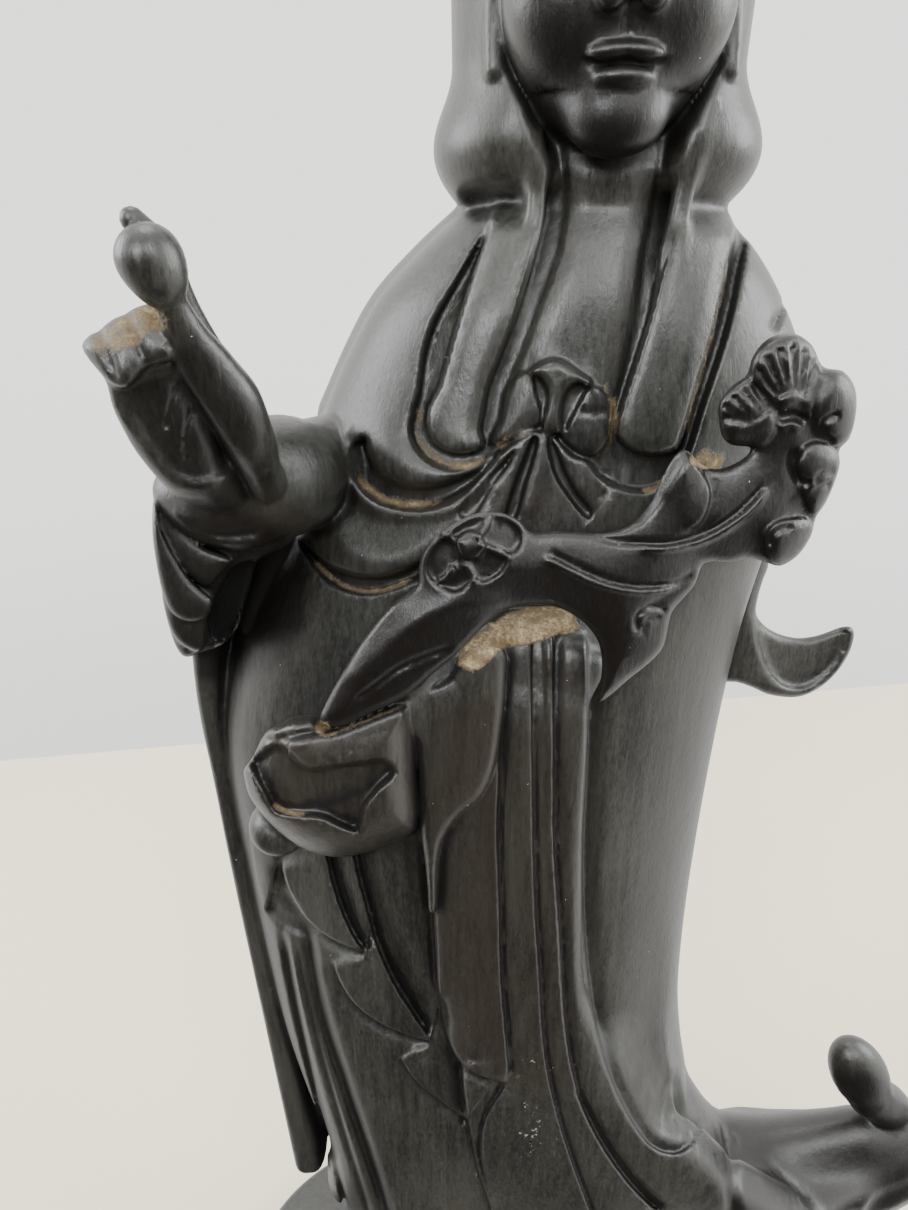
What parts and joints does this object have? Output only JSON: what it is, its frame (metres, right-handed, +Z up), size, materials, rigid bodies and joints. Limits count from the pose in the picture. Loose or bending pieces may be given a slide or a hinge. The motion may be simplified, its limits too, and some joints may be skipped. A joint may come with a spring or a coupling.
{
  "type": "standing guanyin figure",
  "caption": "Standing hooded guanyin carved in dark hardwood, one hand raised with a pearl, the other holding a ruyi sceptre, long robe with a swept train, on a low oval plinth",
  "frame": {"origin": "middle of the plinth's underside", "axes": "+Z up, +X to the viewer's right, -Y towards the viewer"},
  "size_m": [0.3189, 0.1658, 0.6003],
  "materials": {
    "carved_wood": "dark brown-black hardwood with a satin wax sheen, lighter worn edges and dust in the recesses",
    "plinth_wood": "dark brown-black hardwood, satin"
  },
  "bodies": {
    "root": {"guanyin": "carved_wood", "plinth": "plinth_wood"}
  },
  "joints": []
}
